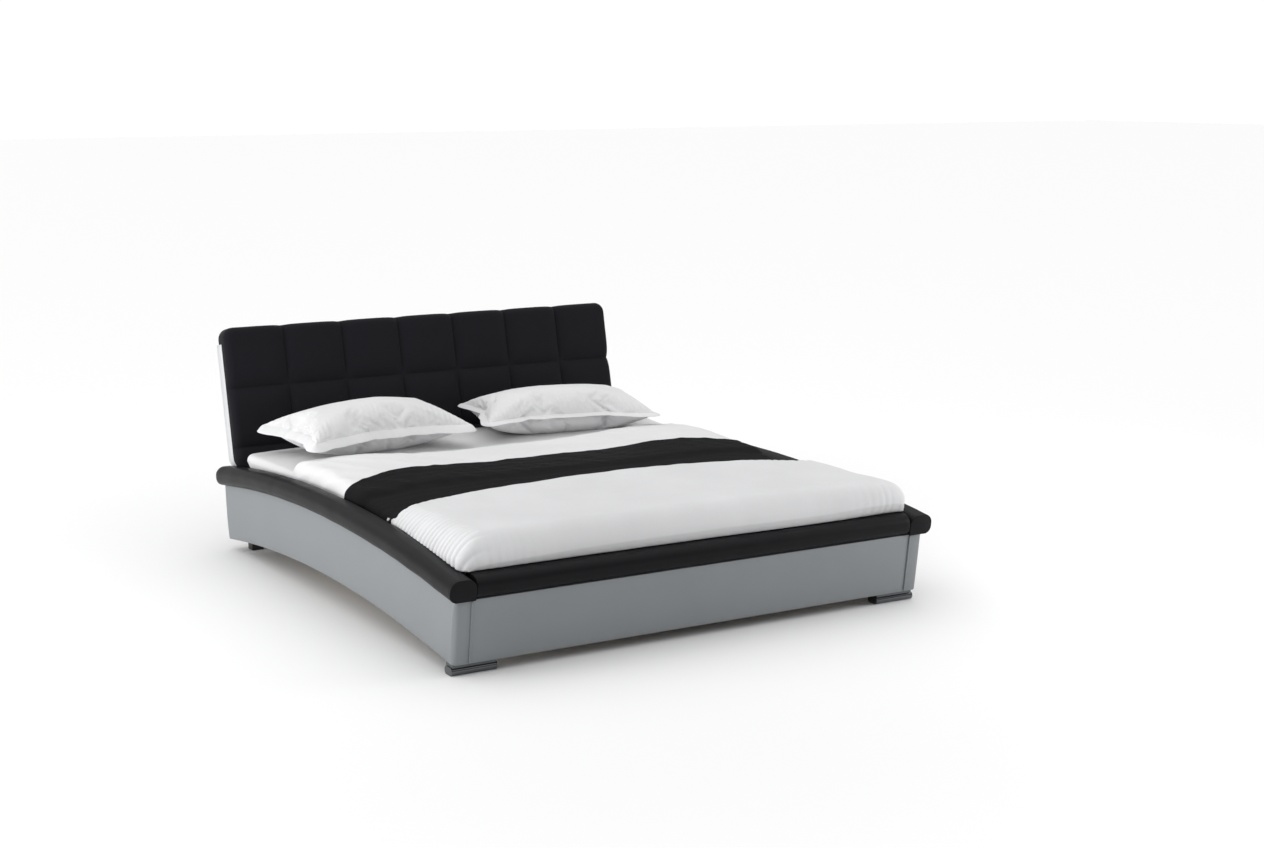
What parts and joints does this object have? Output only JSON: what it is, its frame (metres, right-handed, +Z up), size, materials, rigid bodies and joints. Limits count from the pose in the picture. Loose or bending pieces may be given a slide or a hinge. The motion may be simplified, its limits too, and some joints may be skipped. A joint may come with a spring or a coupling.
{
  "type": "upholstered bed",
  "caption": "Low upholstered double bed with arched side rails, padded rolls, a raked quilted headboard, sprung slats, mattress and bedding.",
  "frame": {"origin": "on the floor under the middle of the bed's footprint", "axes": "+X across the bed to the right of someone looking at it from the foot, +Y from the foot to the headboard, +Z up"},
  "size_m": [2.028, 2.4392, 0.9295],
  "materials": {
    "silver_hide": "semi-gloss smooth leatherette",
    "black_hide": "soft-gloss leatherette",
    "black_cloth": "matt upholstery",
    "chrome": "polished",
    "black_plastic": "matt",
    "board": "sawn",
    "birch": "varnished",
    "black_steel": "powder coat",
    "zinc": "zinc plated",
    "ticking": "knitted ticking",
    "linen": "plain cotton",
    "throw": "satin cotton"
  },
  "bodies": {
    "bed_frame": {"left_rail_board": "board", "right_rail_board": "board", "left_rail_cover": "silver_hide", "right_rail_cover": "silver_hide", "left_rail_roll": "black_hide", "right_rail_roll": "black_hide", "left_slat_ledge": "board", "right_slat_ledge": "board", "left_ledge_screws": "zinc", "right_ledge_screws": "zinc", "foot_panel_board": "board", "foot_panel_cover": "silver_hide", "foot_roll": "black_hide", "headboard_pad": "black_cloth", "headboard_face_board": "board", "headboard_left_post": "board", "headboard_right_post": "board", "headboard_lower_crossbar": "board", "headboard_middle_crossbar": "board", "headboard_upper_crossbar": "board", "headboard_back_cover": "silver_hide", "head_cross_rail": "board", "left_slats": "birch", "right_slats": "birch", "left_outer_slat_caps": "black_plastic", "left_inner_slat_caps": "black_plastic", "right_outer_slat_caps": "black_plastic", "right_inner_slat_caps": "black_plastic", "centre_beam": "black_steel", "foot_beam_hanger": "black_steel", "head_beam_hanger": "black_steel", "centre_leg_1": "black_steel", "centre_leg_2": "black_steel", "foot_left_bracket": "zinc", "foot_right_bracket": "zinc", "head_left_bracket": "zinc", "head_right_bracket": "zinc", "foot_bracket_screws": "zinc", "head_bracket_screws": "zinc", "front_left_foot": "chrome", "front_right_foot": "chrome", "rear_left_foot": "black_plastic", "rear_right_foot": "black_plastic"},
    "mattress_set": {"mattress": "ticking", "top_sheet": "linen", "blanket": "throw", "duvet": "linen"},
    "left_pillow_body": {"left_pillow": "linen"},
    "right_pillow_body": {"right_pillow": "linen"},
    "glide_1": {"leg_glide_1": "black_plastic"},
    "glide_2": {"leg_glide_2": "black_plastic"}
  },
  "joints": [
    {"name": "mattress_lift", "type": "slide", "parent": "bed_frame", "child": "mattress_set", "axis": [0, 0, 1], "range_m": [0, 0.6]},
    {"name": "left_pillow_lift", "type": "slide", "parent": "mattress_set", "child": "left_pillow_body", "axis": [0, 0, 1], "range_m": [0, 0.35]},
    {"name": "right_pillow_lift", "type": "slide", "parent": "mattress_set", "child": "right_pillow_body", "axis": [0, 0, 1], "range_m": [0, 0.35]},
    {"name": "glide_1_screw", "type": "slide", "parent": "bed_frame", "child": "glide_1", "axis": [0, 0, 1], "range_m": [-0.01, 0.01]},
    {"name": "glide_2_screw", "type": "slide", "parent": "bed_frame", "child": "glide_2", "axis": [0, 0, 1], "range_m": [-0.01, 0.01]}
  ]
}
